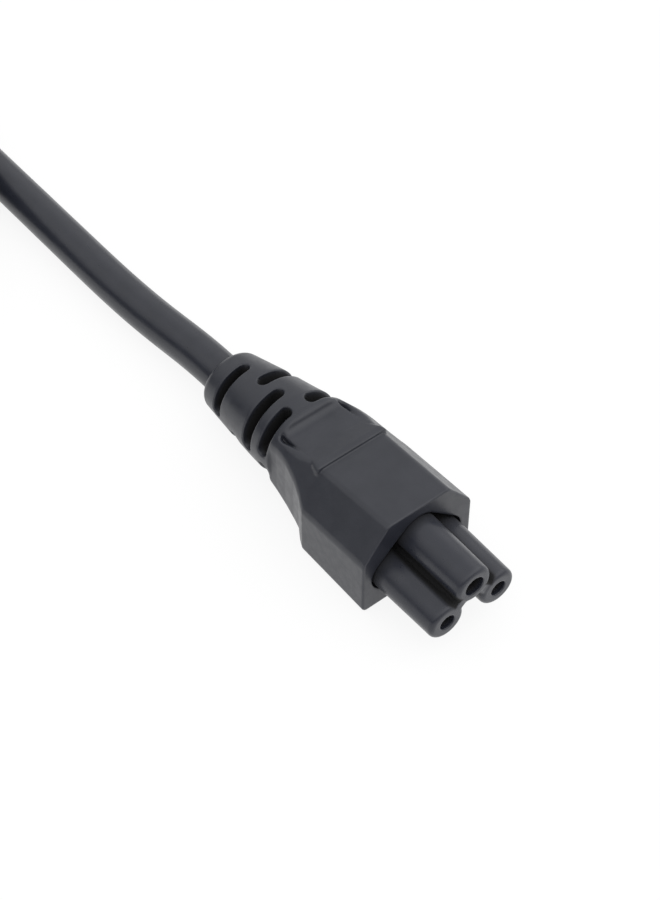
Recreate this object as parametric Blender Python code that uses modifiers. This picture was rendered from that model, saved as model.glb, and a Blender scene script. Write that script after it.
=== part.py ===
"""Cloverleaf power cord: three-hole appliance connector, cord, coil and wall plug.

Metres, +Z up. The connector lies along +X, nose forward, its flat underside on z = 0.
The origin is the bottom centre of the connector's box, cord and plug left out.
"""
import math

import bmesh
import bpy
from mathutils import Matrix, Vector

# Clearances
fit_gap = 0.0003            # between two pieces that touch
slide_gap = 0.00045         # between the nose lobes and the edge of their pocket

# Connector, lengths along X from the nose tip back to the cord
nose_reach = 0.0110         # lobes in front of the body's face
block_length = 0.0133       # face to the front edge of the thumb pad
pad_length = 0.0090         # thumb pad
relief_length = 0.0206      # slotted strain relief
body_width = 0.0182
body_height = 0.0146
chamfer_foot = 0.0095       # height of the side walls under the big top chamfers, at the face
top_width = 0.0101          # flat top between the chamfers
block_drop = 0.0010         # the block is this much lower at its back
ring_width = 0.00125        # full ring between the relief's last slot and the thumb pad
ring_half = 0.00638         # half width of the walls at the ring
crease = 0.00515            # the scoop round the thumb pad ends this far in front of the ring
flare_low_round = 0.0031    # the flare's lower edges

# Cloverleaf nose
hole_pitch = 0.0086         # left hole to right hole
earth_rise = 0.0040         # earth hole above the line of the two others
lobe_low = 0.0055           # height of the two lower lobes' centres
earth_lobe_radius = 0.0032
side_lobe_radius = 0.00295
lobe_bevel = 0.00065
web_half = 0.0012
earth_hole_radius = 0.00146
side_hole_radius = 0.00116
pocket_depth = 0.0050
flange_sink = 0.0016        # flange of the insert below the body's face
mouth_depth = 0.0014        # narrow hole in front of each contact chamber
chamber_depth = 0.0110
chamber_extra = 0.00042     # chamber radius over hole radius
sleeve_wall = 0.00030
sleeve_length = 0.0075

# Strain relief
slot_width = 0.0015
slot_stations = (0.0065, 0.0108, 0.0146, 0.0186)   # slot centres from the cord end
core_radius = 0.0034

# Cord
cord_radius = 0.0030
cord_exit_height = 0.00415
bore_depth = 0.0050
coil_radius = 0.0320        # middle of the turns
coil_pitch = 0.0062
coil_columns = 3
coil_rows = 2
coil_centre_x = -0.1050
run_y = -0.0010             # sideways place of the cord where it meets the coil

# Wall plug
plug_offset = 0.0225        # plug axis beside the coil's centre
plug_start = 0.0120         # cord end of the plug in front of the coil's centre
plug_radius = 0.0185
plug_pin_reach = 0.0190
plug_pin_radius = 0.0024
plug_pin_pitch = 0.0190
plug_disc = 0.0120
plug_grip = 0.0200
plug_relief = 0.0120
plug_neck = 0.0046          # radius of the strain relief at the cord end
plug_shoulder = 0.0054      # and where the grip starts
plug_slot_stations = (0.0032, 0.0056, 0.0080, 0.0104)
plug_slot_width = 0.0012
plug_slot_core = 0.0035
plug_slot_half = 62         # degrees to either side of a slot's middle
grip_width = 0.0084         # half width of the grip, where it is held
grip_thickness = 0.0068
grip_corner = 0.0054
grip_groove_stations = (0.0160, 0.0186, 0.0212, 0.0238)
grip_groove_width = 0.0011
grip_groove_floor = 0.00635
disc_back_rise = 0.0010     # the disc's back leans forward from the rim to the grip
plug_tilt = math.radians(4.0)
face_thickness = 0.0030
face_margin = 0.0033
plug_earth_hole = 0.0026
plug_earth_offset = 0.0100
clip_width = 0.0050
clip_thickness = 0.0008
clip_groove = 0.0024
clip_start = 0.0030         # clips begin this far behind the disc's back edge

# Positions that follow
half_length = (nose_reach + block_length + pad_length + relief_length) / 2
x_face = half_length - nose_reach
x_step = x_face - block_length
x_ring = x_step - pad_length
x_end = -half_length
lobe_high = lobe_low + earth_rise
side_y = hole_pitch / 2


def clear_file():
    for item in list(bpy.data.objects):
        bpy.data.objects.remove(item, do_unlink=True)
    for group in list(bpy.data.collections):
        bpy.data.collections.remove(group)


def new_collection(name):
    group = bpy.data.collections.new(name)
    bpy.context.scene.collection.children.link(group)
    return group


def material(name, colour, metallic, roughness):
    mat = bpy.data.materials.new(name)
    mat.use_nodes = True
    shader = mat.node_tree.nodes["Principled BSDF"]
    shader.inputs["Base Color"].default_value = (*colour, 1.0)
    shader.inputs["Metallic"].default_value = metallic
    shader.inputs["Roughness"].default_value = roughness
    return mat


clear_file()
parts = new_collection("cloverleaf_power_cord")
cutters = new_collection("cutters")
black_soft = material("black_soft_moulding", (0.030, 0.030, 0.034), 0.0, 0.55)
black_hard = material("black_hard_insert", (0.028, 0.028, 0.034), 0.0, 0.42)
black_cord = material("black_cord_sheath", (0.026, 0.026, 0.030), 0.0, 0.40)
grey_hard = material("dark_grey_plug_face", (0.045, 0.045, 0.050), 0.0, 0.50)
contact_metal = material("tinned_contact", (0.62, 0.60, 0.56), 1.0, 0.35)
pin_metal = material("nickel_pin", (0.72, 0.71, 0.69), 1.0, 0.25)


def link(item, group, mat=None):
    group.objects.link(item)
    if mat is not None:
        item.data.materials.append(mat)
    if group is cutters:
        item.hide_render = True
        item.display_type = "WIRE"
    return item


def mesh_object(name, work, group, mat=None):
    bmesh.ops.recalc_face_normals(work, faces=work.faces)
    data = bpy.data.meshes.new(name)
    work.to_mesh(data)
    work.free()
    return link(bpy.data.objects.new(name, data), group, mat)


def boolean(target, tool, operation="DIFFERENCE"):
    step = target.modifiers.new(tool.name, "BOOLEAN")
    step.operation = operation
    step.solver = "EXACT"
    step.object = tool


def bevel(target, width, segments=3, angle=math.radians(40)):
    step = target.modifiers.new("bevel", "BEVEL")
    step.width = width
    step.segments = segments
    step.limit_method = "ANGLE"
    step.angle_limit = angle


def cylinder(name, radius, x0, x1, y, z, group, mat=None, segments=40):
    """A cylinder along X."""
    work = bmesh.new()
    place = Matrix.Translation(((x0 + x1) / 2, y, z)) @ Matrix.Rotation(math.pi / 2, 4, "Y")
    bmesh.ops.create_cone(work, cap_ends=True, segments=segments, radius1=radius, radius2=radius,
                          depth=x1 - x0, matrix=place)
    return mesh_object(name, work, group, mat)


def box(name, x0, x1, y0, y1, z0, z1, group, mat=None, turn=0.0):
    """A box, turned about X through its own middle."""
    work = bmesh.new()
    middle = Matrix.Translation(((x0 + x1) / 2, (y0 + y1) / 2, (z0 + z1) / 2))
    size = Matrix.Diagonal((x1 - x0, y1 - y0, z1 - z0, 1.0))
    bmesh.ops.create_cube(work, size=1.0, matrix=middle @ Matrix.Rotation(turn, 4, "X") @ size)
    return mesh_object(name, work, group, mat)


def rounded_outline(corners, steps):
    """Points round a convex outline; corners are (y, z, radius), counter-clockwise."""
    points = []
    count = len(corners)
    for i, (y, z, radius) in enumerate(corners):
        here = Vector((y, z))
        before = (Vector(corners[i - 1][:2]) - here).normalized()
        after = (Vector(corners[(i + 1) % count][:2]) - here).normalized()
        half = before.angle(after) / 2
        centre = here + (before + after).normalized() * (radius / math.sin(half))
        start = here + before * (radius / math.tan(half)) - centre
        end = here + after * (radius / math.tan(half)) - centre
        sweep = start.angle_signed(end) * -1
        first = math.atan2(start.y, start.x)
        for k in range(steps + 1):
            turn = first + sweep * k / steps
            points.append((centre.x + radius * math.cos(turn), centre.y + radius * math.sin(turn)))
    return points


def loft(name, stations, group, mat=None):
    """Skins a row of outlines, each (x, points), and caps both ends."""
    work = bmesh.new()
    rings = [[work.verts.new((x, y, z)) for y, z in points] for x, points in stations]
    for low, high in zip(rings, rings[1:]):
        for i in range(len(low)):
            j = (i + 1) % len(low)
            work.faces.new((low[i], low[j], high[j], high[i]))
    work.faces.new(rings[0])
    work.faces.new(rings[-1])
    return mesh_object(name, work, group, mat)


def prism(name, outlines, x0, x1, group, mat=None):
    """Flat outlines of (y, z) points, each carried from x0 to x1 and capped."""
    work = bmesh.new()
    for outline in outlines:
        back = [work.verts.new((x0, y, z)) for y, z in outline]
        front = [work.verts.new((x1, y, z)) for y, z in outline]
        for i in range(len(back)):
            j = (i + 1) % len(back)
            work.faces.new((back[i], back[j], front[j], front[i]))
        work.faces.new(back)
        work.faces.new(front)
    return mesh_object(name, work, group, mat)


def hull_outline(grow, steps=10):
    """The rounded triangle round the three lobes, grown by a clearance."""
    circles = ((0.0, lobe_high, earth_lobe_radius + grow), (-side_y, lobe_low, side_lobe_radius + grow),
               (side_y, lobe_low, side_lobe_radius + grow))
    points = []
    for i, (y, z, radius) in enumerate(circles):
        py, pz, pr = circles[i - 1]
        ny, nz, nr = circles[(i + 1) % 3]
        back = tangent_angle((py, pz, pr), (y, z, radius))
        front = tangent_angle((y, z, radius), (ny, nz, nr))
        if front < back:
            front += 2 * math.pi
        for k in range(steps + 1):
            turn = back + (front - back) * k / steps
            points.append((y + radius * math.cos(turn), z + radius * math.sin(turn)))
    return points


def tangent_angle(first, second):
    """Direction from either centre to the outer tangent line of two circles, walked counter-clockwise."""
    dy, dz = second[0] - first[0], second[1] - first[1]
    along = math.atan2(dz, dy)
    lean = math.acos((first[2] - second[2]) / math.hypot(dy, dz))
    return (along - lean) % (2 * math.pi)


def body_outline(half_width, low, foot, top, half_top, r_low, r_foot, r_top):
    return rounded_outline((
        (-half_width, low, r_low), (half_width, low, r_low), (half_width, foot, r_foot),
        (half_top, top, r_top), (-half_top, top, r_top), (-half_width, foot, r_foot)), 5)


# Housing
def round_outline(radius, centre):
    """A circle whose points are shared out like the corners of the body's outline."""
    spans = (195, 270, 345, 395, 450, 505, 555)
    turns = [math.radians(a + (b - a) * (k + 0.5) / 6)
             for a, b in zip(spans, spans[1:]) for k in range(6)]
    return [(radius * math.cos(turn), centre + radius * math.sin(turn)) for turn in turns]


back_foot = chamfer_foot - block_drop * 0.8
back_top = body_height - block_drop
back_half = body_width / 2 - 0.00005
stations = [
    (x_face, body_outline(body_width / 2 - 0.00025, 0.0002, chamfer_foot - 0.0001, body_height - 0.00025,
                          top_width / 2 - 0.0001, 0.0014, 0.0012, 0.0011)),
    (x_face - 0.0003, body_outline(body_width / 2, 0, chamfer_foot, body_height, top_width / 2,
                                   0.0015, 0.0012, 0.0011)),
    (x_step + 0.0005, body_outline(back_half, 0, back_foot, back_top, top_width / 2,
                                   0.0015, 0.0012, 0.0011)),
]
flare_shape = (     # in front of the ring: half width, underside, foot, top and half top of the chamfer
    (0.0077, 0.00815, 0.0000, 0.00990, 0.01355, 0.00520),
    (0.0059, 0.00752, 0.0001, 0.01085, 0.01350, 0.00525),
    (0.0033, 0.00687, 0.0002, 0.01120, 0.01340, 0.00490),
    (0.0009, 0.00650, 0.0003, 0.01070, 0.01332, 0.00410),
    (0.0003 - ring_width, ring_half, 0.0004, 0.01020, 0.01330, 0.00350),
    (-ring_width, ring_half - 0.0002, 0.0006, 0.01005, 0.01310, 0.00335),
)
for ahead, half, low, foot, top, half_top in flare_shape:
    stations.append((x_ring + ahead, body_outline(half, low, foot, top, half_top, flare_low_round,
                                                  0.0012, 0.0014)))
relief_shape = (    # in front of the cord end: radius and height of the middle
    (0.0192, 0.00662, 0.00715), (0.01745, 0.00645, 0.00700), (0.00925, 0.00545, 0.00590),
    (0.0012, 0.00430, 0.00460), (0.0006, 0.00408, 0.00450), (0.0002, 0.00374, 0.00444),
    (0.0, 0.00330, 0.00440),
)
for ahead, radius, centre in relief_shape:
    stations.append((x_end + ahead, round_outline(radius, centre)))
housing = loft("housing", stations, parts, black_soft)

scoop_start, scoop_top = 0.0100, 0.0150
crease_height = 0.0130
scoop = loft("pad_scoop", [(x_ring + ahead, (
    (-body_width, floor), (body_width, floor), (body_width, scoop_top), (-body_width, scoop_top)))
    for ahead, floor in ((0.0, scoop_start), (crease, crease_height))], cutters)
boolean(housing, scoop)
pad_floor = 0.0085
pad_profile = (     # in front of the ring: half width and top
    (-0.0003, 0.0046, 0.01230), (0.0, 0.0046, 0.01230), (crease, 0.0050, 0.01300),
    (0.0080, 0.0059, 0.01398), (0.0087, 0.0059, 0.01402), (0.0090, 0.0058, 0.01375),
    (0.0092, 0.0056, 0.01300),
)
pad = loft("thumb_pad", [(x_ring + ahead, rounded_outline((
    (-half, pad_floor, 0.0003), (half, pad_floor, 0.0003), (half, top, 0.0003), (-half, top, 0.0003)), 3))
    for ahead, half, top in pad_profile], cutters)
boolean(housing, pad, "UNION")

pocket = prism("nose_pocket", [hull_outline(slide_gap)], x_face - pocket_depth, x_face + 0.001, cutters)
boolean(housing, pocket)
cord_bore = cylinder("cord_bore", cord_radius + fit_gap, x_end - 0.001, x_end + bore_depth, 0.0,
                     cord_exit_height, cutters)
boolean(housing, cord_bore)


def sector(centre, inner, outer, first, last, steps=9):
    """Outline of a ring sector in (y, z); angles in degrees from +Y toward +Z."""
    arc = [math.radians(first + (last - first) * k / steps) for k in range(steps + 1)]
    rim = [(outer * math.cos(a), centre + outer * math.sin(a)) for a in arc]
    hub = [(inner * math.cos(a), centre + inner * math.sin(a)) for a in reversed(arc)]
    return rim + hub


slot_arcs = (
    (0.00525, ((90, 190), (270, 370))),
    (0.00590, ((18, 98), (198, 278))),
    (0.00640, ((93, 190), (273, 370))),
    (0.00680, ((20, 82), (112, 172), (200, 262), (292, 352))),
)
for number, (place, (centre, arcs)) in enumerate(zip(slot_stations, slot_arcs), 1):
    loops = [sector(centre, core_radius, 0.011, first, last) for first, last in arcs]
    slot = prism(f"relief_slot_{number}", loops, x_end + place - slot_width / 2,
                 x_end + place + slot_width / 2, cutters)
    boolean(housing, slot)

# Nose insert
flange_back = x_face - pocket_depth + fit_gap
nose = prism("nose_insert", [hull_outline(slide_gap - fit_gap)], flange_back, x_face - flange_sink, parts,
             black_hard)
lobes = (
    (0.0, lobe_high, earth_lobe_radius, earth_hole_radius),
    (-side_y, lobe_low, side_lobe_radius, side_hole_radius),
    (side_y, lobe_low, side_lobe_radius, side_hole_radius),
)
for name, (y, z, radius, hole) in zip(("earth", "left", "right"), lobes):
    lobe = cylinder(f"lobe_{name}", radius, flange_back + 0.0006, half_length, y, z, cutters, segments=48)
    bevel(lobe, lobe_bevel)
    boolean(nose, lobe, "UNION")
web_length = math.hypot(side_y, earth_rise) / 2
web_turn = math.atan2(earth_rise, side_y)
for name, side in (("left", -1), ("right", 1)):
    web = box(f"web_{name}", flange_back + 0.0008, half_length - 0.00004, side * side_y / 2 - web_length,
              side * side_y / 2 + web_length, (lobe_low + lobe_high) / 2 - web_half,
              (lobe_low + lobe_high) / 2 + web_half, cutters, turn=-side * web_turn)
    boolean(nose, web, "UNION")
for name, (y, z, radius, hole) in zip(("earth", "left", "right"), lobes):
    mouth = cylinder(f"mouth_{name}", hole, half_length - mouth_depth - 0.0005, half_length + 0.001,
                     y, z, cutters)
    chamber = cylinder(f"chamber_{name}", hole + chamber_extra, half_length - chamber_depth,
                       half_length - mouth_depth, y, z, cutters)
    boolean(nose, mouth)
    boolean(nose, chamber)


def turned(name, profile, axis, steps, group, mat):
    """A closed profile turned right round one axis."""
    work = bmesh.new()
    verts = [work.verts.new(place) for place in profile]
    for a, b in zip(verts, verts[1:] + verts[:1]):
        work.edges.new((a, b))
    data = bpy.data.meshes.new(name)
    work.to_mesh(data)
    work.free()
    item = link(bpy.data.objects.new(name, data), group, mat)
    turn = item.modifiers.new("turn", "SCREW")
    turn.axis = axis
    turn.steps = turn.render_steps = steps
    turn.use_merge_vertices = True
    turn.merge_threshold = 0.00001
    return item


for name, (y, z, radius, hole) in zip(("earth", "left", "right"), lobes):
    outer = hole + chamber_extra - fit_gap
    inner = outer - sleeve_wall
    front = half_length - mouth_depth - fit_gap
    back = front - sleeve_length
    sleeve = turned(f"contact_{name}", [(back, 0.0, inner), (front, 0.0, inner), (front, 0.0, outer),
                                        (back, 0.0, outer)], "X", 32, parts, contact_metal)
    sleeve.location = (0.0, y, z)


# Cord: hand-chosen route points, read as a smooth curve
def smooth(points, spacing):
    """Catmull-Rom through the points, then evenly spaced along its length."""
    dense = []
    for i in range(len(points) - 1):
        p0 = points[max(i - 1, 0)]
        p1, p2 = points[i], points[i + 1]
        p3 = points[min(i + 2, len(points) - 1)]
        for k in range(24):
            t = k / 24
            dense.append(0.5 * ((2 * p1) + (p2 - p0) * t + (2 * p0 - 5 * p1 + 4 * p2 - p3) * t * t
                                + (3 * p1 - p0 - 3 * p2 + p3) * t * t * t))
    dense.append(points[-1])
    total = sum((b - a).length for a, b in zip(dense, dense[1:]))
    count = max(2, round(total / spacing))
    out, walked, target = [dense[0]], 0.0, total / count
    for a, b in zip(dense, dense[1:]):
        step = (b - a).length
        while walked + step >= target - 1e-9 and len(out) < count:
            out.append(a.lerp(b, (target - walked) / step))
            target += total / count
        walked += step
    out.append(dense[-1])
    return out


def cord_tube(name, route, mat):
    data = bpy.data.curves.new(name, "CURVE")
    data.dimensions = "3D"
    data.bevel_depth = cord_radius
    data.bevel_resolution = 3
    data.use_fill_caps = True
    spline = data.splines.new("POLY")
    points = smooth([Vector(p) for p in route], cord_radius * 5)
    spline.points.add(len(points) - 1)
    for point, place in zip(spline.points, points):
        point.co = (*place, 1.0)
    return link(bpy.data.objects.new(name, data), parts, mat)


coil_out = coil_radius + (coil_columns / 2) * coil_pitch
coil_in = coil_radius - (coil_columns / 2) * coil_pitch
coil_centre_y = run_y - coil_radius - (coil_columns - 1) / 2 * coil_pitch
coil_height = coil_rows * coil_pitch
cord_tube("cord_run", (
    (x_end + bore_depth - fit_gap, 0.0, cord_exit_height), (x_end, 0.0, cord_exit_height),
    (x_end - 0.005, 0.0, 0.0040), (x_end - 0.011, -0.0004, 0.0034), (x_end - 0.018, -0.0008, cord_radius),
    (x_end - 0.026, -0.0010, cord_radius), (x_end - 0.036, run_y, cord_radius),
    (coil_centre_x + 0.022, run_y, cord_radius)), black_cord)

rim = cord_radius * 0.93
coil = turned("cord_coil", [
    (coil_in, 0.0, rim), (coil_in, 0.0, coil_height - rim), (coil_in + rim, 0.0, coil_height),
    (coil_out - rim, 0.0, coil_height), (coil_out, 0.0, coil_height - rim), (coil_out, 0.0, rim),
    (coil_out - rim, 0.0, 0.0), (coil_in + rim, 0.0, 0.0)], "Z", 72, parts, black_cord)
coil.location = (coil_centre_x, coil_centre_y, 0.0)

plug_length = plug_relief + plug_grip + plug_disc
plug_y = coil_centre_y - plug_offset
plug_x = coil_centre_x + plug_start
plug_z = plug_length * math.sin(plug_tilt) + plug_radius * math.cos(plug_tilt)
plug_place = Matrix.Translation((plug_x, plug_y, plug_z)) @ Matrix.Rotation(plug_tilt, 4, "Y")

tail_bend = (       # from the coil's centre, as it comes up off the turns
    (-0.0268, 0.0221, 0.0158), (-0.0300, 0.0121, 0.0177), (-0.0298, 0.0021, 0.0193),
    (-0.0263, -0.0073, 0.0207), (-0.0195, -0.0154, 0.0218), (-0.0104, -0.0207, 0.02235),
    (0.0, -0.0225, 0.02236),
)
tail = [(coil_centre_x + x, coil_centre_y + y, z) for x, y, z in tail_bend]
for along in (-0.0015, bore_depth - fit_gap):
    tail.append(tuple(plug_place @ Vector((along, 0.0, 0.0))))
cord_tube("cord_tail", tail, black_cord)


# Wall plug, modelled along its own X from the cord end to the pins, then laid down beside the coil
def lay_down(item):
    item.matrix_world = plug_place @ item.matrix_world


def grip_section(half_y, half_z, corner):
    return rounded_outline(((-half_y, -half_z, corner), (half_y, -half_z, corner),
                            (half_y, half_z, corner), (-half_y, half_z, corner)), 9)


def round_plug_section(radius):
    return grip_section(radius, radius, radius * 0.995)


grip_start = plug_relief
disc_start = plug_relief + plug_grip
plug_edge = 0.0008
rim_back = disc_start - disc_back_rise
plug_sections = [
    (0.0, round_plug_section(plug_neck - plug_edge)), (plug_edge, round_plug_section(plug_neck)),
    (grip_start - 0.0003, round_plug_section(plug_shoulder)),
    (grip_start + 0.0002, grip_section(grip_width * 0.82, grip_thickness * 0.86, grip_corner * 0.9)),
    (grip_start + 0.0010, grip_section(grip_width * 0.93, grip_thickness * 0.96, grip_corner)),
    (grip_start + 0.0060, grip_section(grip_width, grip_thickness, grip_corner)),
    (grip_start + 0.0120, grip_section(grip_width * 1.10, grip_thickness * 1.06, grip_corner)),
    (grip_start + 0.0160, grip_section(grip_width * 1.33, grip_thickness * 1.30, grip_corner * 1.3)),
    (rim_back - 0.0006, grip_section(grip_width * 1.56, grip_thickness * 1.72, grip_corner * 1.85)),
    (rim_back + 0.0006, grip_section(grip_width * 1.70, grip_thickness * 1.94, grip_corner * 1.9)),
    (rim_back + 0.0005, round_plug_section(plug_radius - 0.0024)),
    (rim_back + 0.0002, round_plug_section(plug_radius - 0.0011)),
    (rim_back + 0.0005, round_plug_section(plug_radius - 0.0004)),
    (rim_back + 0.0012, round_plug_section(plug_radius)),
    (plug_length - plug_edge, round_plug_section(plug_radius)),
    (plug_length, round_plug_section(plug_radius - plug_edge)),
]
plug = loft("plug_body", plug_sections, parts, black_soft)
lay_down(plug)

plug_tools = []
for number, place in enumerate(plug_slot_stations, 1):
    middles = (90, 270) if number % 2 else (0, 180)
    loops = [sector(0.0, plug_slot_core, 0.007, middle - plug_slot_half, middle + plug_slot_half)
             for middle in middles]
    plug_tools.append(prism(f"plug_slot_{number}", loops, place - plug_slot_width / 2,
                            place + plug_slot_width / 2, cutters))
for number, place in enumerate(grip_groove_stations, 1):
    for name, side in (("top", 1), ("bottom", -1)):
        low, high = sorted((side * grip_groove_floor, side * 0.0090))
        plug_tools.append(box(f"grip_groove_{name}_{number}", place - grip_groove_width / 2,
                              place + grip_groove_width / 2, -0.0110, 0.0110, low, high, cutters))
face_radius = plug_radius - face_margin
face_pocket = cylinder("face_pocket", face_radius + fit_gap, plug_length - face_thickness - fit_gap,
                       plug_length + 0.001, 0.0, 0.0, cutters, segments=64)
tail_bore = cylinder("tail_bore", cord_radius + fit_gap, -0.001, bore_depth, 0.0, 0.0, cutters)
plug_tools += [face_pocket, tail_bore]
for name, side in (("top", 1), ("bottom", -1)):
    plug_tools.append(box(f"clip_groove_{name}", disc_start + clip_start, plug_length + 0.001,
                          -clip_width / 2 - fit_gap, clip_width / 2 + fit_gap,
                          side * plug_radius - clip_groove, side * plug_radius + clip_groove, cutters))
for tool in plug_tools:
    lay_down(tool)
    boolean(plug, tool)

face = cylinder("plug_face", face_radius, plug_length - face_thickness, plug_length, 0.0, 0.0, parts,
                grey_hard, segments=64)
lay_down(face)
face_tools = [cylinder("face_earth_hole", plug_earth_hole, plug_length - 0.009, plug_length + 0.001, 0.0,
                       plug_earth_offset, cutters)]
for name, side in (("left", -1), ("right", 1)):
    face_tools.append(cylinder(f"pin_seat_{name}", plug_pin_radius + fit_gap,
                               plug_length - face_thickness - 0.002, plug_length + 0.001,
                               side * plug_pin_pitch / 2, 0.0, cutters))
for tool in face_tools:
    lay_down(tool)
    boolean(face, tool)
for name, side in (("left", -1), ("right", 1)):
    pin = cylinder(f"plug_pin_{name}", plug_pin_radius, plug_length - face_thickness,
                   plug_length + plug_pin_reach, side * plug_pin_pitch / 2, 0.0, parts, pin_metal,
                   segments=32)
    bevel(pin, 0.0010)
    lay_down(pin)
for name, side in (("top", 1), ("bottom", -1)):
    floor_z = side * (plug_radius - clip_groove + fit_gap)
    top_z = floor_z + side * clip_thickness
    clip = box(f"plug_clip_{name}", disc_start + clip_start + fit_gap, plug_length - 0.0003,
               -clip_width / 2, clip_width / 2, min(floor_z, top_z), max(floor_z, top_z), parts,
               contact_metal)
    bevel(clip, 0.0002, 2)
    lay_down(clip)
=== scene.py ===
"""Looks of the cloverleaf power cord: soft moulded connector, cord, coil and wall plug.

Metres, +Z up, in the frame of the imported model. The connector lies along +X, nose forward.
The moulded pieces are drawn in millimetres, as distances to a surface, and meshed from those.
"""

import math

import bmesh
import bpy
import numpy as np
from mathutils import Matrix, Vector


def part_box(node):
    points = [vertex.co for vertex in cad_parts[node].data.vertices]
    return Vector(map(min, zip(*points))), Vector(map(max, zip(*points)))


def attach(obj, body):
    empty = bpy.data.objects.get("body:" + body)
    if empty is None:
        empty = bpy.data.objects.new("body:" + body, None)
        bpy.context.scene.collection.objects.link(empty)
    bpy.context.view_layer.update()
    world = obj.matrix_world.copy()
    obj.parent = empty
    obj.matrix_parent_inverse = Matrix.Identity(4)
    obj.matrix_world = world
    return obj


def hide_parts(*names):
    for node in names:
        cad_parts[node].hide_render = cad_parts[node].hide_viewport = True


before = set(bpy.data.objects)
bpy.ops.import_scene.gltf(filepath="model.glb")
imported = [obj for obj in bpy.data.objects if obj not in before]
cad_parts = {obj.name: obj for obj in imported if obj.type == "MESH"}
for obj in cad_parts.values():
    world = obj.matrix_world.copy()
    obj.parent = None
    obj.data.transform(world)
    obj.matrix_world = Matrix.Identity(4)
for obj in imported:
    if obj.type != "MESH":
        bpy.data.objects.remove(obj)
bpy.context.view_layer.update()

# Where the frame puts the pieces
body_low, body_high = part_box("housing")
_, nose_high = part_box("nose_insert")
coil_low, coil_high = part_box("cord_coil")
x_end = body_low.x
x_face = body_high.x
x_tip = nose_high.x

# Cord, in metres
cord_radius = 0.0030
cord_pitch = 0.0062
cord_exit_height = 0.00415
bore_depth = 0.0047
coil_x = (coil_low.x + coil_high.x) / 2
coil_y = (coil_low.y + coil_high.y) / 2
coil_inner_turn = (coil_high.x - coil_low.x) / 2 - 2.5 * cord_pitch
plug_tilt = math.radians(4.0)
plug_ahead, plug_aside, plug_height = 0.0120, 0.0225, 0.021524
plug_place = (Matrix.Translation((coil_x + plug_ahead, coil_y - plug_aside, plug_height))
              @ Matrix.Rotation(plug_tilt, 4, "Y"))

# Connector, in millimetres; places along X are told from its two ends
mm = 0.001
end, face, tip = x_end / mm, x_face / mm, x_tip / mm
block_length, pad_length = 13.3, 9.0
step_x = face - block_length
ring_x = step_x - pad_length
block_half, block_top = 9.1, 14.6
block_drop = 1.0   # how much lower the block's top is at its back
chamfer_across, chamfer_up = 0.783, 0.622   # the way the chamfer on the top's sides faces
relief_axis = 6.85   # height of the cone that trims the flare toward the relief
relief_back = end + 2.15
slot_core = 2.6   # radius of what the slots leave round the cord
cord_bore = 3.12

# Cloverleaf nose, in millimetres
earth = (0.0, 9.5)
left, right = (-4.3, 5.5), (4.3, 5.5)
earth_radius, side_radius = 3.02, 2.95
lobe_taper = 0.2
web_half, web_shift = 0.95, 0.25   # the webs that join the lobes
groove_half, groove_floor = 0.54, 0.72
earth_hole, side_hole = 1.46, 1.16
hole_depth, hole_neck, hole_widening = 11.0, 1.4, 0.42
pocket_depth, pocket_room, flange_sink = 5.0, 0.28, 3.2
pocket_seat = 0.3   # how far the nose stays off the pocket's floor

# Wall plug, in millimetres along its own axis from the cord end
plug_radius = 18.5
relief_end, grip_end, plug_end = 12.0, 32.0, 44.0
pin_reach, pin_radius, pin_half_pitch = 19.0, 2.4, 9.5
face_radius, face_depth = 15.2, 3.0
well_radius, well_depth = 12.6, 0.5
collar_depth, collar_sink, pin_collar, socket_collar = 2.0, 0.05, 3.9, 3.6
socket_height, socket_radius = 10.0, 2.6
plug_slots, plug_slot_half = (3.2, 5.6, 8.0, 10.4), 0.6
grip_grooves, grip_groove_half = (16.0, 18.6, 21.2, 23.8), 0.55
clip_bed_half, clip_bed_radius = 2.8, 16.1
clip_start, clip_half, clip_seat = grip_end + 3.4, 2.45, 16.35
clip_middle, clip_reach, clip_crown, clip_thick_half = 38.5, 5.0, 0.35, 0.4

# Mesh cell sizes, in millimetres, and how the meshes are evened out
body_cell, nose_cell, plug_cell, face_cell, pin_cell, clip_cell = 0.2, 0.14, 0.32, 0.26, 0.16, 0.12
even_rounds, even_share = 3, 0.4


def cut_edge(a, b, radius):
    """Inside both, with the edge between them rounded."""
    near_a, near_b = np.maximum(a + radius, 0.0), np.maximum(b + radius, 0.0)
    return np.minimum(np.maximum(a, b), -radius) + np.hypot(near_a, near_b)


def join(a, b, radius):
    """Inside either, with a fillet between them."""
    return -cut_edge(-a, -b, radius)


def take(a, b, radius):
    """Inside a and outside b, with the rim rounded."""
    return cut_edge(a, -b, radius)


def between(x, low, high):
    """Inside a slab."""
    return np.abs(x - (low + high) / 2) - (high - low) / 2


def read(x, *keys):
    """Straight lines through (place, level) keys."""
    return np.interp(x, [place for place, _ in keys], [level for _, level in keys])


def rounded_triangle(y, z, grow):
    """Outline round the three lobes: circles of one size and the straight lines that touch them."""
    corners = (earth, left, right)
    outside = np.full(np.shape(y), -1e9)
    near = np.full(np.shape(y), 1e9)
    for (ay, az), (by, bz) in zip(corners, corners[1:] + corners[:1]):
        length = math.hypot(by - ay, bz - az)
        ey, ez = (by - ay) / length, (bz - az) / length
        along = np.clip((y - ay) * ey + (z - az) * ez, 0.0, length)
        near = np.minimum(near, np.hypot(y - ay - along * ey, z - az - along * ez))
        outside = np.maximum(outside, (z - az) * -ey + (y - ay) * ez)
    spread = read(z, (left[1], side_radius), (earth[1], earth_radius))
    return np.where(outside < 0.0, -near, near) - spread - grow


def slope(distance, points, step):
    """Gradient of a distance, by small steps to both sides."""
    found = np.empty_like(points)
    for k in range(3):
        shift = np.zeros(3)
        shift[k] = step
        found[:, k] = (distance(*(points + shift).T) - distance(*(points - shift).T)) / (2 * step)
    return found


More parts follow.
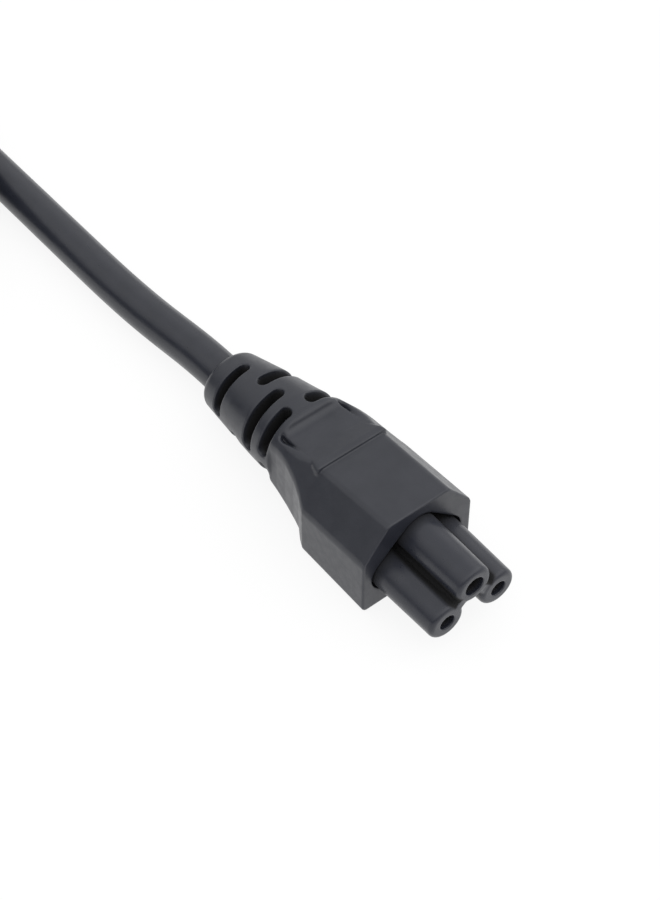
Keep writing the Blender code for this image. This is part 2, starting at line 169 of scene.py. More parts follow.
def settle(distance, points, step, rounds):
    """Moves points onto the surface, never far in one go."""
    for _ in range(rounds):
        lean = slope(distance, points, step * 0.05)
        size = np.maximum((lean * lean).sum(axis=1), 0.05)
        move = -(distance(*points.T) / size)[:, None] * lean
        reach = np.maximum(np.linalg.norm(move, axis=1), 1e-12)
        points = points + move * np.minimum(1.0, step * 0.6 / reach)[:, None]
    return points


def surface(name, distance, low, high, step, place=None, painted_shade=None):
    """Closed mesh where a distance is zero: one point in each grid cell that the surface crosses.

    The last argument gives how much painted shade each point gets, from 0 to 1: the material darkens it
    toward black to stand in for the shade in hollows.
    """
    axes = [np.arange(a - 2 * step, b + 2 * step, step) for a, b in zip(low, high)]
    field = distance(*np.meshgrid(*axes, indexing="ij"))
    inside = field < 0.0
    size = np.array(inside.shape) - 1
    corners = [(i, j, k) for i in (0, 1) for j in (0, 1) for k in (0, 1)]

    def at_corner(values, corner):
        return values[tuple(slice(c, c + s) for c, s in zip(corner, size))]

    filled = sum(at_corner(inside, c).astype(np.int8) for c in corners)
    mixed = (filled > 0) & (filled < 8)
    cells = np.argwhere(mixed)
    number = np.full(mixed.shape, -1, np.int64)
    number[mixed] = np.arange(len(cells))
    total, count = np.zeros((len(cells), 3)), np.zeros(len(cells))
    for a in corners:
        for axis in (k for k in range(3) if not a[k]):
            b = tuple(1 if k == axis else a[k] for k in range(3))
            first, second = at_corner(field, a)[mixed], at_corner(field, b)[mixed]
            crossed = (first < 0.0) != (second < 0.0)
            spot = np.tile(np.array(a, float), (len(cells), 1))
            spot[:, axis] += np.where(crossed, first / np.where(crossed, first - second, 1.0), 0.0)
            total += spot * crossed[:, None]
            count += crossed
    points = np.array([axis[0] for axis in axes]) + (cells + total / count[:, None]) * step

    faces = []
    for axis in range(3):
        one, two = (axis + 1) % 3, (axis + 2) % 3
        here = [slice(1, None)] * 3
        here[axis] = slice(0, -1)
        there = [slice(1, None)] * 3
        spots = np.argwhere(inside[tuple(here)] != inside[tuple(there)])
        spots[:, one] += 1
        spots[:, two] += 1
        ring = []
        for back_one, back_two in ((0, 0), (1, 0), (1, 1), (0, 1)):
            cell = spots.copy()
            cell[:, one] -= back_one
            cell[:, two] -= back_two
            ring.append(number[tuple(cell.T)])
        quad = np.stack(ring, axis=1)
        entering = ~inside[tuple(spots.T)]
        quad[entering] = quad[entering][:, ::-1]
        faces.append(quad)
    faces = np.concatenate(faces)
    edges = np.concatenate([faces[:, [k, (k + 1) % 4]] for k in range(4)])
    around = np.bincount(edges[:, 0], minlength=len(points))[:, None]
    for _ in range(even_rounds):
        points = settle(distance, points, step, 2)
        middle = np.stack([np.bincount(edges[:, 0], points[edges[:, 1], k], len(points))
                           for k in range(3)], axis=1)
        points = points + even_share * (middle / around - points)
    points = settle(distance, points, step, 3)

    data = bpy.data.meshes.new(name)
    data.from_pydata((points * mm).tolist(), [], faces.tolist())
    # Painted shade: each point's share is stored for the material to darken toward black
    if painted_shade is not None:
        depth = data.attributes.new("painted_shade", "FLOAT", "POINT")
        depth.data.foreach_set("value", np.clip(painted_shade(*points.T), 0.0, 1.0))
    data.validate()
    data.shade_smooth()
    if place is not None:
        data.transform(place)
    item = bpy.data.objects.new(name, data)
    bpy.context.scene.collection.objects.link(item)
    return item


# Slots of the relief: place from the cord end, half width, height of the centre, and the first and last
# degree of each arc
slots = (
    (6.65, 0.90, 5.25, ((87, 188), (267, 368))),
    (11.10, 1.05, 5.90, ((8, 103), (188, 283))),
    (14.85, 1.00, 6.40, ((91, 188), (271, 368))),
    (18.50, 0.92, 6.80, ((8, 82), (104, 173), (188, 262), (284, 353))),
)


def relief(x, y, z):
    """The strain relief, a soft round cone with its cord end rounded off."""
    radius = read(x, (end + 1.25, 4.55), (end + 9.25, 5.70), (end + 17.45, 6.68), (end + 20.0, 6.80))
    centre = read(x, (end + 1.25, 4.62), (end + 9.25, 5.90), (end + 17.45, 7.00), (end + 20.0, 7.20))
    aside = read(x, (end + 15.0, -0.18), (end + 20.0, 0.0))
    body = cut_edge(np.hypot(y - aside, z - centre) - radius, relief_back - x, 1.25)
    body = cut_edge(body, z - read(x, (ring_x - 4.0, 14.2), (ring_x - 1.0, 13.45)), 0.6)
    return cut_edge(body, x - (ring_x - 0.5), 0.2)


def slot_void(x, y, z, place, slot_half, centre, first, last):
    """A round-ended slot that runs round the relief."""
    reach = np.hypot(y, z - centre)
    middle = math.radians((first + last) / 2)
    angle = np.arctan2(z - centre, y) - middle
    angle = np.abs((angle + math.pi) % (2 * math.pi) - math.pi)
    half = math.radians((last - first) / 2)
    along = np.maximum((angle - half) * reach + slot_half, 0.0)
    return cut_edge(np.hypot(x - end - place, along) - slot_half, slot_core - reach, 0.35)


def block(x, y, z):
    """The body block and the flare that narrows from it toward the relief."""
    half = read(x, (ring_x - 1.3, 6.38), (ring_x + 0.9, 6.50), (ring_x + 3.3, 6.87), (ring_x + 5.9, 7.52),
                (ring_x + 7.7, 8.15), (step_x + 0.55, 9.05), (face, block_half))
    top = read(x, (ring_x, 13.45), (ring_x + 4.0, 13.5), (step_x, block_top - block_drop), (face, block_top))
    chamfer = read(x, (ring_x - 0.6, 12.6), (step_x, 12.52), (face, 13.03))
    under = read(x, (ring_x - 1.3, 0.45), (ring_x + 3.3, 0.15), (step_x, 0.0))
    low_round = read(x, (ring_x, 3.0), (step_x, 1.4), (face, 0.9))
    wall = cut_edge(np.abs(y) - half, under - z, low_round)
    roof = cut_edge(chamfer_across * np.abs(y) + chamfer_up * z - chamfer, z - top, 0.4)
    solid = cut_edge(wall, roof, 0.4)
    flare = read(x, (ring_x - 1.25, 7.20), (step_x - 1.2, 9.25), (step_x + 0.4, 12.0))
    cone = np.hypot(y, z - relief_axis) - flare
    solid = cut_edge(solid, cone, 0.35)
    solid = cut_edge(solid, x - face, 0.22)
    return cut_edge(solid, ring_x - 1.0 - x, 0.25)


def pad_half(x):
    """Half the thumb pad's width along the connector."""
    return read(x, (ring_x, 4.6), (ring_x + 5.15, 5.0), (ring_x + 8.4, 5.9))


def pad_top(x):
    """Height of the thumb pad along the connector."""
    return read(x, (ring_x, 12.30), (ring_x + 5.15, 13.0), (ring_x + 8.0, 13.98), (ring_x + 9.0, 14.02))


def shoulder_void(x, y, z):
    """What is cut off beside the thumb pad, between the relief's ring and the crease."""
    level = 10.8 + 0.48 * (x - ring_x) + 1.3 * np.maximum(np.abs(y) - 4.8, 0.0)
    void = cut_edge(cut_edge(level - z, ring_x + 0.1 - x, 1.3), x - (ring_x + 6.5), 0.1)
    return cut_edge(void, pad_half(x) - np.abs(y), 0.1)


def thumb_pad(x, y, z):
    """The front of the pad, which stands over the flare and ends in a step at the block."""
    solid = cut_edge(np.abs(y) - pad_half(x), z - pad_top(x), 0.75)
    solid = cut_edge(solid, x - (step_x - 0.05), 0.25)
    return cut_edge(solid, np.maximum(ring_x + 2.5 - x, 8.5 - z), 0.05)


def pad_void(x, y, z):
    """The scoop over the pad, cut into the ring's front and the flare's top."""
    over = cut_edge(pad_top(x) - z, ring_x - x, 1.35)
    return cut_edge(over, np.maximum(np.abs(y) - 6.5, x - step_x), 0.05)


def housing_skin(x, y, z):
    """The housing's outside, before the slots, the pocket and the cord's bore."""
    shape = take(block(x, y, z), shoulder_void(x, y, z), 0.4)
    shape = take(shape, pad_void(x, y, z), 0.4)
    shape = join(shape, thumb_pad(x, y, z), 0.03)
    return join(relief(x, y, z), shape, 0.25)


def housing_painted_shade(x, y, z):
    """Painted shade in the slots and the pocket: from 0 at the outside to 1 deeper in."""
    return (-housing_skin(x, y, z) - 0.15) / 0.9


def housing_shape(x, y, z):
    """The housing with its slots, the pocket for the nose and the cord's bore."""
    shape = housing_skin(x, y, z)
    for place, half, centre, arcs in slots:
        for first, last in arcs:
            shape = take(shape, slot_void(x, y, z, place, half, centre, first, last), 0.18)
    pocket = cut_edge(rounded_triangle(y, z, pocket_room), face - pocket_depth - x, 0.2)
    shape = take(shape, pocket, 0.15)
    bore = cut_edge(np.hypot(y, z - cord_exit_height / mm) - cord_bore, x - (end + 5.0), 0.2)
    return take(shape, bore, 0.35)


lobe_gap = math.hypot(left[0] - earth[0], left[1] - earth[1])
groove_middle = (lobe_gap + earth_radius - side_radius) / 2


def across_groove(y, z, side):
    """Distance from the earth lobe's centre toward a side lobe's, and out of the line between them."""
    ey, ez = (side[0] - earth[0]) / lobe_gap, (side[1] - earth[1]) / lobe_gap
    out_y, out_z = math.copysign(ez, side[0]), abs(ey)
    along = (y - earth[0]) * ey + (z - earth[1]) * ez
    return along, (y - earth[0]) * out_y + (z - earth[1]) * out_z


def nose_painted_shade(x, y, z):
    """Painted shade and painted shadow, from 0 to 1: on the lobes' base near the pocket, in the grooves
    between the lobes and inside the holes.
    """
    # Painted shadow of the block on the lobes' base, fading out 1.5 mm in front of the face
    painted_shade_level = 0.75 * np.clip((face + 1.5 - x) / 1.9, 0.0, 1.0) + np.clip((face - 0.4 - x) / 1.0, 0.0, 0.25)
    # Painted shade in the grooves between the lobes
    for side in (left, right):
        along, out = across_groove(y, z, side)
        walls = 1.0 - (np.abs(along - groove_middle) - groove_half - 0.05) / 0.35
        painted_shade_level = np.maximum(painted_shade_level, np.minimum(np.minimum(walls, 1.0), (2.3 - out) / 0.5) * (out > 0.4))
    # Painted shade inside the holes
    for (cy, cz), hole in ((earth, earth_hole), (left, side_hole), (right, side_hole)):
        inside = np.hypot(y - cy, z - cz) < hole + 0.6
        painted_shade_level = np.maximum(painted_shade_level, inside * (tip - 0.25 - x) / 0.8)
    return painted_shade_level


def nose_shape(x, y, z):
    """Three lobes and the webs between them on a flange."""
    flange = cut_edge(rounded_triangle(y, z, 0.1), x - (face - flange_sink), 0.15)
    taper = read(x, (face, 0.0), (tip, lobe_taper))
    lobes = None
    for (cy, cz), radius in ((earth, earth_radius), (left, side_radius), (right, side_radius)):
        lobe = cut_edge(np.hypot(y - cy, z - cz) - radius + taper, x - tip + 0.01, 0.7)
        lobes = lobe if lobes is None else join(lobes, lobe, 0.1)
    for side in (left, right):
        along, out = across_groove(y, z, side)
        past = np.maximum(np.abs(along - 0.5 * lobe_gap) - 0.5 * lobe_gap, 0.0)
        web = np.hypot(past, out + web_shift) - web_half
        lobes = join(lobes, cut_edge(web, x - (tip - 0.1), 0.5), 0.15)
    for side in (left, right):
        along, out = across_groove(y, z, side)
        narrow = read(x, (tip - 7.0, 0.0), (tip - 0.5, 0.22))
        floor_out = read(x, (tip - 4.0, groove_floor), (tip - 0.7, 1.5))
        bed = cut_edge(np.abs(along - groove_middle) - groove_half + narrow, floor_out - out, 0.15)
        lobes = take(lobes, bed, 0.22)
    shape = join(lobes, flange, 0.25)
    shape = cut_edge(shape, face - pocket_depth + pocket_seat - x, 0.2)
    for (cy, cz), hole in ((earth, earth_hole), (left, side_hole), (right, side_hole)):
        reach = np.hypot(y - cy, z - cz)
        mouth = reach - hole
        chamber = cut_edge(reach - hole - hole_widening, x - (tip - hole_neck), 0.05)
        void = cut_edge(np.minimum(mouth, chamber), tip - hole_depth - x, 0.05)
        shape = take(shape, void, 0.14)
    return shape


def oblong(y, z, half_y, half_z, corner):
    """Outline of a rounded rectangle."""
    reach_y, reach_z = np.abs(y) - half_y + corner, np.abs(z) - half_z + corner
    return (np.hypot(np.maximum(reach_y, 0.0), np.maximum(reach_z, 0.0))
            + np.minimum(np.maximum(reach_y, reach_z), 0.0) - corner)


def plug_shape(x, y, z):
    """The wall plug's body: slotted sleeve, grooved grip and disc with room for the face and clips."""
    reach = np.hypot(y, z)
    sleeve = cut_edge(reach - read(x, (0.0, 4.55), (relief_end, 5.4)), -x, 1.0)
    sleeve = cut_edge(sleeve, x - relief_end - 3.0, 0.2)
    for number, place in enumerate(plug_slots):
        angle = np.abs((np.arctan2(z, y) + number * math.pi / 2) % math.pi - math.pi / 2)
        along = np.maximum((angle - math.radians(62)) * reach + plug_slot_half, 0.0)
        void = cut_edge(np.hypot(x - place, along) - plug_slot_half, 3.5 - reach, 0.25)
        sleeve = take(sleeve, void, 0.15)
    half_y = read(x, (relief_end, 7.9), (18.0, 8.4), (24.0, 9.25), (28.0, 11.2), (grip_end, 14.6))
    half_z = read(x, (relief_end, 6.6), (18.0, 6.8), (24.0, 7.2), (28.0, 8.8), (grip_end, 13.6))
    corner = read(x, (24.0, 5.4), (28.0, 7.0), (30.5, 10.3))
    grip = cut_edge(oblong(y, z, half_y, half_z, corner), relief_end - x, 1.2)
    grip = cut_edge(grip, x - plug_end + 4.0, 0.2)
    for place in grip_grooves:
        void = cut_edge(np.abs(x - place) - grip_groove_half, 6.35 - np.abs(z), 0.3)
        grip = take(grip, void, 0.2)
    disc = cut_edge(reach - plug_radius, x - plug_end, 0.6)
    disc = cut_edge(disc, grip_end - x + 0.16 * (plug_radius - reach) - 1.0, 1.2)
    shape = join(join(sleeve, grip, 0.4), disc, 1.6)
    shape = take(shape, cut_edge(reach - face_radius - 0.25, plug_end - face_depth - 0.3 - x, 0.2), 0.3)
    groove = cut_edge(np.abs(y) - clip_bed_half, clip_bed_radius - np.abs(z), 0.25)
    shape = take(shape, cut_edge(groove, grip_end + 3.0 - x, 0.25), 0.25)
    return take(shape, cut_edge(reach - cord_bore, x - 5.0, 0.2), 0.3)


def plug_face_shape(x, y, z):
    """The face insert: a disc with a shallow well, a collar round each pin and the earth socket."""
    reach = np.hypot(y, z)
    raised = between(x, plug_end - collar_depth, plug_end - collar_sink)
    shape = cut_edge(reach - face_radius, between(x, plug_end - face_depth, plug_end), 0.35)
    well = cut_edge(reach - well_radius, plug_end - well_depth - x, 0.2)
    shape = take(shape, well, 0.2)
    for side in (-1, 1):
        collar = cut_edge(np.hypot(y - side * pin_half_pitch, z) - pin_collar, raised, 0.3)
        shape = join(shape, collar, 0.2)
        seat = np.hypot(y - side * pin_half_pitch, z) - pin_radius - 0.12
        shape = take(shape, seat, 0.15)
    socket = np.hypot(y, z - socket_height)
    shape = join(shape, cut_edge(socket - socket_collar, raised, 0.3), 0.2)
    return take(shape, socket - socket_radius, 0.25)


def pin_shape(x, y, z, side):
    """A round pin with a domed tip and a fine groove at its foot."""
    reach = np.hypot(y - side * pin_half_pitch, z)
    tip_round = cut_edge(reach - pin_radius, x - plug_end - pin_reach, 1.7)
    neck = cut_edge(np.abs(x - plug_end - 0.9) - 0.25, pin_radius - 0.2 - reach, 0.05)
    return cut_edge(take(tip_round, neck, 0.08), plug_end - face_depth + 0.2 - x, 0.1)


def clip_shape(x, y, z, side):
    """Earth contact let into the rim: a flat strip, crowned along its length."""
    height = side * z
    crown = clip_seat + clip_crown * np.cos((x - clip_middle) / clip_reach * math.pi / 2)
    strip = np.abs(height - crown - clip_thick_half) - clip_thick_half
    strip = cut_edge(np.abs(y) - clip_half, strip, 0.15)
    return cut_edge(strip, between(x, clip_start, plug_end - 0.3), 0.15)


def eased(keys, value):
    """Reads (place, level) keys at a value, with soft starts and stops between them."""
    places = [place for place, _ in keys]
    levels = [level for _, level in keys]
    i = min(max(int(np.searchsorted(places, value)), 1), len(keys) - 1)
    part = min(max((value - places[i - 1]) / (places[i] - places[i - 1]), 0.0), 1.0)
    return levels[i - 1] + (levels[i] - levels[i - 1]) * part * part * (3 - 2 * part)


def on_coil(degrees, radius, height):
    """A point round the coil; degrees count from +Y, counter-clockwise seen from above."""
    angle = math.radians(degrees)
    return Vector((coil_x - radius * math.sin(angle), coil_y + radius * math.cos(angle), height))


def cord_route():
    """Run from the connector, the coil's turns in two layers, and the tail into the plug."""
    run = [Vector(place) for place in (
        (x_end + bore_depth, 0.0, cord_exit_height), (x_end, 0.0, cord_exit_height),
        (x_end - 0.0050, 0.0, 0.0040), (x_end - 0.0110, -0.0004, 0.0034), (x_end - 0.0180, -0.0008, 0.0031),
        (x_end - 0.0260, -0.0010, 0.0030), (x_end - 0.0360, -0.0010, 0.0030),
        (x_end - 0.0480, -0.0010, 0.0030), (x_end - 0.0600, -0.0010, 0.0030))]
    inner, middle, outer = (coil_inner_turn + cord_pitch * step for step in range(3))
    across = ((0, outer), (235, outer), (360, middle), (595, middle), (720, inner), (1140, inner),
              (1265, middle), (1500, middle), (1625, outer), (1800, outer))
    low, high = cord_radius, cord_radius + cord_pitch
    up = ((0, low), (900, low), (1020, high), (1800, high))
    coil = [on_coil(a, eased(across, a), eased(up, a)) for a in range(0, 1801, 15)]
    tail = [Vector((coil_x + x, coil_y + y, z)) for x, y, z in (
        (-0.0104, 0.0364, 0.0110), (-0.0195, 0.0311, 0.0134), (-0.0268, 0.0221, 0.0158),
        (-0.0300, 0.0121, 0.0177), (-0.0298, 0.0021, 0.0193), (-0.0263, -0.0073, 0.0207),
        (-0.0195, -0.0154, 0.0218), (-0.0104, -0.0207, 0.02235), (0.0, -0.0225, 0.02236))]
    tail += [plug_place @ Vector((along, 0.0, 0.0)) for along in (-0.0015, bore_depth)]
    return run + coil + tail


def smooth_line(points, spacing, parts=16, soft_rounds=24):
    """Catmull-Rom through the points, evenly spaced and softened a little; gives its length too."""
    dense = []
    for i in range(len(points) - 1):
        before = points[max(i - 1, 0)]
        here, there = points[i], points[i + 1]
        after = points[min(i + 2, len(points) - 1)]
        for k in range(parts):
            t = k / parts
            dense.append(0.5 * (2 * here + (there - before) * t
                                + (2 * before - 5 * here + 4 * there - after) * t * t
                                + (3 * here - before - 3 * there + after) * t * t * t))
    dense.append(points[-1])
    line = np.array(dense)
    line[:, 2] = np.maximum(line[:, 2], cord_radius)
    walked = np.concatenate([[0.0], np.cumsum(np.linalg.norm(np.diff(line, axis=0), axis=1))])
    marks = np.linspace(0.0, walked[-1], round(walked[-1] / spacing) + 1)
    line = np.stack([np.interp(marks, walked, line[:, k]) for k in range(3)], axis=1)
    for _ in range(soft_rounds):
        line[1:-1] += 0.25 * (line[:-2] + line[2:] - 2 * line[1:-1])
    return line, np.linalg.norm(np.diff(line, axis=0), axis=1).sum()


def tube_mesh(name, line, radius, sides=24):
    """A closed tube round a line, with frames carried along it without twist."""
    heading = np.gradient(line, axis=0)
    heading /= np.linalg.norm(heading, axis=1)[:, None]
    side = np.cross(heading[0], (0.0, 0.0, 1.0))
    angles = np.linspace(0.0, 2 * math.pi, sides, endpoint=False)
    work = bmesh.new()
    rings = []
    for place, ahead in zip(line, heading):
        side = side - ahead * (side @ ahead)
        side /= np.linalg.norm(side)
        up = np.cross(side, ahead)
        rings.append([work.verts.new(place + radius * (math.cos(a) * side + math.sin(a) * up))
                      for a in angles])
    for low, high in zip(rings, rings[1:]):
        for i in range(sides):
            j = (i + 1) % sides
            work.faces.new((low[i], low[j], high[j], high[i]))
    work.faces.new(rings[0])
    work.faces.new(rings[-1])
    bmesh.ops.recalc_face_normals(work, faces=work.faces)
    data = bpy.data.meshes.new(name)
    work.to_mesh(data)
    work.free()
    item = bpy.data.objects.new(name, data)
    bpy.context.scene.collection.objects.link(item)
    data.shade_smooth()
    return item


# Materials
# Painted shade: the black and the roughness that the hollows are darkened and dulled to
painted_shade_colour = (0.0025, 0.0025, 0.003)
painted_shade_roughness = 0.9


def shader_of(name, roughness, metallic=0.0, specular=0.5):
    """A new material, its node tree and its Principled shader."""
    mat = bpy.data.materials.new(name)
    mat.use_nodes = True
    shader = mat.node_tree.nodes["Principled BSDF"]
    shader.inputs["Metallic"].default_value = metallic
    shader.inputs["Roughness"].default_value = roughness
    shader.inputs["Specular IOR Level"].default_value = specular
    return mat, mat.node_tree, shader


def noise(tree, scale, detail=3.0, stretch=(1.0, 1.0, 1.0)):
    """Noise in the object's own space; scale counts its cells in a metre."""
    place = tree.nodes.new("ShaderNodeTexCoord")
    spread = tree.nodes.new("ShaderNodeMapping")
    spread.inputs["Scale"].default_value = stretch
    cloud = tree.nodes.new("ShaderNodeTexNoise")
    cloud.inputs["Scale"].default_value = scale
    cloud.inputs["Detail"].default_value = detail
    tree.links.new(place.outputs["Object"], spread.inputs["Vector"])
    tree.links.new(spread.outputs["Vector"], cloud.inputs["Vector"])
    return cloud.outputs["Fac"]


def ramp(tree, value, *stops):
    """Colours by value; stops are (place, linear colour)."""
    band = tree.nodes.new("ShaderNodeValToRGB")
    while len(band.color_ramp.elements) < len(stops):
        band.color_ramp.elements.new(0.5)
    for element, (place, colour) in zip(band.color_ramp.elements, stops):
        element.position = place
        element.color = (*colour, 1.0)
    tree.links.new(value, band.inputs["Fac"])
    return band.outputs["Color"]


def gloss_range(tree, value, low, high):
    """A roughness that wanders between two limits with a noise."""
    reach = tree.nodes.new("ShaderNodeMapRange")
    reach.inputs["From Min"].default_value = 0.3
    reach.inputs["From Max"].default_value = 0.7
    reach.inputs["To Min"].default_value = low
    reach.inputs["To Max"].default_value = high
    tree.links.new(value, reach.inputs["Value"])
    return reach.outputs["Result"]


def bump(tree, shader, *layers):
    """Each layer is (height, strength, depth in metres)."""
    last = None
    for value, strength, depth in layers:
        relief_node = tree.nodes.new("ShaderNodeBump")
        relief_node.inputs["Strength"].default_value = strength
        relief_node.inputs["Distance"].default_value = depth
        tree.links.new(value, relief_node.inputs["Height"])
        if last is not None:
            tree.links.new(last, relief_node.inputs["Normal"])
        last = relief_node.outputs["Normal"]
    tree.links.new(last, shader.inputs["Normal"])


def moulding(name, dark, light, low, high, grain=5200.0, depth=0.00003):
    """Moulded plastic: mottled colour, fine spark-eroded grain and a slow sink over larger spans.

    Painted shade: where a point's painted-shade share is high the colour falls to black and the gloss is
    lost.
    """
    mat, tree, shader = shader_of(name, (low + high) / 2)
    mottle = noise(tree, 320.0, 5.0)
    colour = ramp(tree, mottle, (0.3, dark), (0.7, light))
    # Painted shade: the per-point attribute blends the colour toward black and the roughness toward matt
    painted_shade = tree.nodes.new("ShaderNodeAttribute")
    painted_shade.attribute_name = "painted_shade"
    blend = tree.nodes.new("ShaderNodeMix")
    blend.data_type = "RGBA"
    tree.links.new(painted_shade.outputs["Fac"], blend.inputs["Factor"])
    tree.links.new(colour, blend.inputs[6])
    blend.inputs[7].default_value = (*painted_shade_colour, 1.0)
    tree.links.new(blend.outputs[2], shader.inputs["Base Color"])
    gloss = gloss_range(tree, noise(tree, 900.0, 4.0), low, high)
    matt = tree.nodes.new("ShaderNodeMix")
    matt.data_type = "FLOAT"
    tree.links.new(painted_shade.outputs["Fac"], matt.inputs["Factor"])
    tree.links.new(gloss, matt.inputs[2])
    matt.inputs[3].default_value = painted_shade_roughness
    tree.links.new(matt.outputs[0], shader.inputs["Roughness"])
    bump(tree, shader, (noise(tree, grain, 2.0), 0.35, depth), (noise(tree, 260.0, 1.0), 0.12, 0.0002))
    return mat


def sheath(name, dark, light):
    """Extruded cord sheath: faint streaks from the die and a soft grain."""
    mat, tree, shader = shader_of(name, 0.4)
    mottle = noise(tree, 420.0, 5.0)
    tree.links.new(ramp(tree, mottle, (0.3, dark), (0.7, light)), shader.inputs["Base Color"])
    gloss = gloss_range(tree, noise(tree, 1100.0, 3.0, (0.3, 1.0, 1.0)), 0.27, 0.36)
    tree.links.new(gloss, shader.inputs["Roughness"])
    bump(tree, shader, (noise(tree, 3800.0, 2.0, (0.2, 1.0, 1.0)), 0.25, 0.00003),
         (noise(tree, 300.0, 1.0), 0.10, 0.0002))
    return mat


def metal(name, dark, light, low, high, stretch):
    """Plated metal with drawing marks and a slight tarnish."""
    mat, tree, shader = shader_of(name, (low + high) / 2, metallic=1.0)
    cloud = noise(tree, 260.0, 5.0)
    tree.links.new(ramp(tree, cloud, (0.3, dark), (0.7, light)), shader.inputs["Base Color"])
    streaks = noise(tree, 2600.0, 3.0, stretch)
    tree.links.new(gloss_range(tree, streaks, low, high), shader.inputs["Roughness"])
    bump(tree, shader, (streaks, 0.12, 0.00002))
    return mat


soft = moulding("soft_moulding", (0.017, 0.019, 0.027), (0.023, 0.025, 0.034), 0.31, 0.41)
hard = moulding("hard_insert", (0.015, 0.017, 0.026), (0.020, 0.022, 0.032), 0.26, 0.34, depth=0.00002)
face_mat = moulding("plug_face_moulding", (0.040, 0.040, 0.045), (0.052, 0.052, 0.058), 0.42, 0.55)
sheathing = sheath("cord_sheath", (0.017, 0.019, 0.027), (0.022, 0.024, 0.033))
tinned = metal("tinned_strip", (0.50, 0.48, 0.44), (0.64, 0.62, 0.58), 0.28, 0.44, (0.15, 1.0, 1.0))
nickel = metal("nickel_plate", (0.60, 0.59, 0.57), (0.72, 0.71, 0.69), 0.16, 0.30, (0.15, 1.0, 1.0))


def finish(item, mat, slot, *nodes):
    """Gives a piece its material and its frame, and hides the CAD nodes that it stands for."""
    item.data.materials.append(mat)
    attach(item, "root")
    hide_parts(*nodes)


# The connector body gets painted shade in its slots and its pocket
connector = surface("connector_body", housing_shape, (end, -9.2, -0.1), (face, 9.2, 14.8), body_cell,
                    painted_shade=housing_painted_shade)
finish(connector, soft, "black_soft_moulding", "housing")
# The nose gets painted shadow on the lobes' base and painted shade in the grooves and the holes
nose = surface("cloverleaf_nose", nose_shape, (face - pocket_depth + pocket_seat, -7.5, 2.3),
               (tip, 7.5, 12.8), nose_cell, painted_shade=nose_painted_shade)
finish(nose, hard, "black_hard_insert", "nose_insert")
for name in ("contact_earth", "contact_left", "contact_right"):
    bpy.data.objects[name].data.materials.clear()
    bpy.data.objects[name].data.materials.append(tinned)

plug = surface("wall_plug_body", plug_shape, (0.0, -18.6, -18.6), (plug_end, 18.6, 18.6), plug_cell,
               plug_place)
finish(plug, soft, "black_soft_moulding", "plug_body")
plug_face = surface("wall_plug_face", plug_face_shape, (plug_end - face_depth, -15.3, -15.3),
                    (plug_end, 15.3, 15.3), face_cell, plug_place)
finish(plug_face, face_mat, "dark_grey_plug_face", "plug_face")
for name, side in (("left", -1), ("right", 1)):
    pin = surface(f"wall_pin_{name}", lambda x, y, z: pin_shape(x, y, z, side),
                  (plug_end - face_depth, side * pin_half_pitch - 2.5, -2.5),
                  (plug_end + pin_reach, side * pin_half_pitch + 2.5, 2.5), pin_cell, plug_place)
    finish(pin, nickel, "nickel_pin", f"plug_pin_{name}")
for name, side in (("top", 1), ("bottom", -1)):
    low_z, high_z = sorted((side * 16.0, side * 17.8))
    clip = surface(f"earth_clip_{name}", lambda x, y, z: clip_shape(x, y, z, side),
                   (clip_start, -2.6, low_z), (plug_end, 2.6, high_z), clip_cell, plug_place)
    finish(clip, tinned, "tinned_contact", f"plug_clip_{name}")

route, route_length = smooth_line(cord_route(), 0.0012)
cord = tube_mesh("cord", route, cord_radius)
finish(cord, sheathing, "black_cord_sheath", "cord_run", "cord_coil", "cord_tail")

# Floor: a white sheet on a light table
bpy.ops.mesh.primitive_plane_add(size=16.0)
floor = bpy.context.object
floor.name = "floor"
paper, _, paper_shader = shader_of("floor_paper", 0.9, specular=0.0)
paper_shader.inputs["Base Color"].default_value = (0.12, 0.12, 0.12, 1)
paper_shader.inputs["Emission Color"].default_value = (1, 1, 1, 1)
paper_shader.inputs["Emission Strength"].default_value = 0.88
floor.data.materials.append(paper)

# Light: a tent whose walls glow unevenly; levels go round from +X through +Y, in steps of 45 degrees
low_wall = (0.02, 0.39, 0.65, 0.41, 0.47, 0.14, 0.08, 0.02)
middle_wall = (1.14, 1.61, 1.75, 0.93, 0.95, 0.90, 0.80, 0.80)
high_wall = (1.70, 1.78, 1.68, 1.04, 0.83, 1.13, 1.24, 1.45)
roof_level = 1.23
full_level = 2.0   # the level that the colours below are shares of
wall_heights = (0.05, 0.45, 0.80, 1.0)   # Z of the direction where each band of the tent is reached

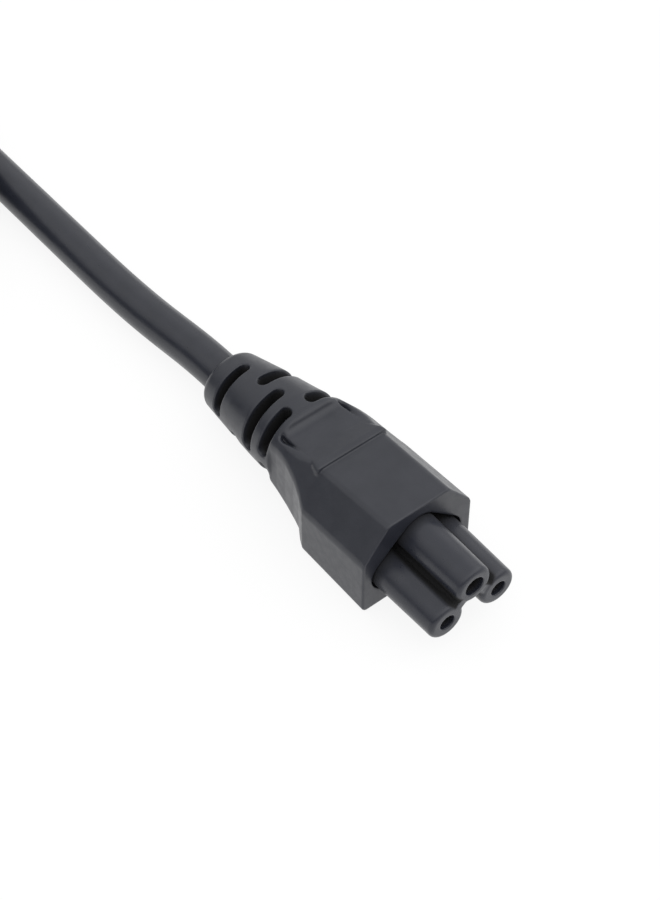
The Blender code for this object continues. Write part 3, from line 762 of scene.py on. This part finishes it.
bpy.context.scene.view_settings.view_transform = "Standard"
world = bpy.data.worlds.new("studio")
bpy.context.scene.world = world
world.use_nodes = True
tent = world.node_tree
heading = tent.nodes.new("ShaderNodeTexCoord")
parts = tent.nodes.new("ShaderNodeSeparateXYZ")
tent.links.new(heading.outputs["Generated"], parts.inputs["Vector"])
turn = tent.nodes.new("ShaderNodeMath")
turn.operation = "ARCTAN2"
tent.links.new(parts.outputs["Y"], turn.inputs[0])
tent.links.new(parts.outputs["X"], turn.inputs[1])
round_part = tent.nodes.new("ShaderNodeMapRange")
round_part.inputs["From Min"].default_value = -math.pi
round_part.inputs["From Max"].default_value = math.pi
tent.links.new(turn.outputs[0], round_part.inputs["Value"])


def wall_glow(levels):
    """Colours round the tent, from -X through -Y, +X and +Y back to -X."""
    order = levels[4:] + levels[:4] + levels[4:5]
    return ramp(tent, round_part.outputs["Result"],
                *((k / 8, (level / full_level,) * 3) for k, level in enumerate(order)))


def blend_up(below, above, first, last):
    """Goes over from one colour to another between two heights of the direction."""
    part = tent.nodes.new("ShaderNodeMapRange")
    part.inputs["From Min"].default_value = first
    part.inputs["From Max"].default_value = last
    tent.links.new(parts.outputs["Z"], part.inputs["Value"])
    mixed = tent.nodes.new("ShaderNodeMix")
    mixed.data_type = "RGBA"
    tent.links.new(part.outputs["Result"], mixed.inputs["Factor"])
    for value, slot in ((below, 6), (above, 7)):
        if isinstance(value, tuple):
            mixed.inputs[slot].default_value = value
        else:
            tent.links.new(value, mixed.inputs[slot])
    return mixed.outputs[2]


glow = blend_up(wall_glow(low_wall), wall_glow(middle_wall), *wall_heights[0:2])
glow = blend_up(glow, wall_glow(high_wall), *wall_heights[1:3])
glow = blend_up(glow, (*(roof_level / full_level,) * 3, 1.0), *wall_heights[2:4])
tent.links.new(glow, tent.nodes["Background"].inputs["Color"])
tent.nodes["Background"].inputs["Strength"].default_value = full_level

# Camera, fitted to the photograph's corner points; its azimuth counts from -Y toward +X
azimuth = math.radians(51.194)
elevation = math.radians(49.144)
camera_place = Vector((0.13409, -0.109523, 0.211634))
back = Vector((math.sin(azimuth) * math.cos(elevation), -math.cos(azimuth) * math.cos(elevation),
               math.sin(elevation)))
lens = bpy.data.cameras.new("camera")
lens.sensor_width = 36.0
lens.lens = 80.3875
lens.clip_start = 0.01
lens.clip_end = 30.0
camera = bpy.data.objects.new("camera", lens)
bpy.context.scene.collection.objects.link(camera)
camera.location = camera_place
camera.rotation_mode = "QUATERNION"
camera.rotation_quaternion = (-back).to_track_quat("-Z", "Y")
bpy.context.scene.camera = camera
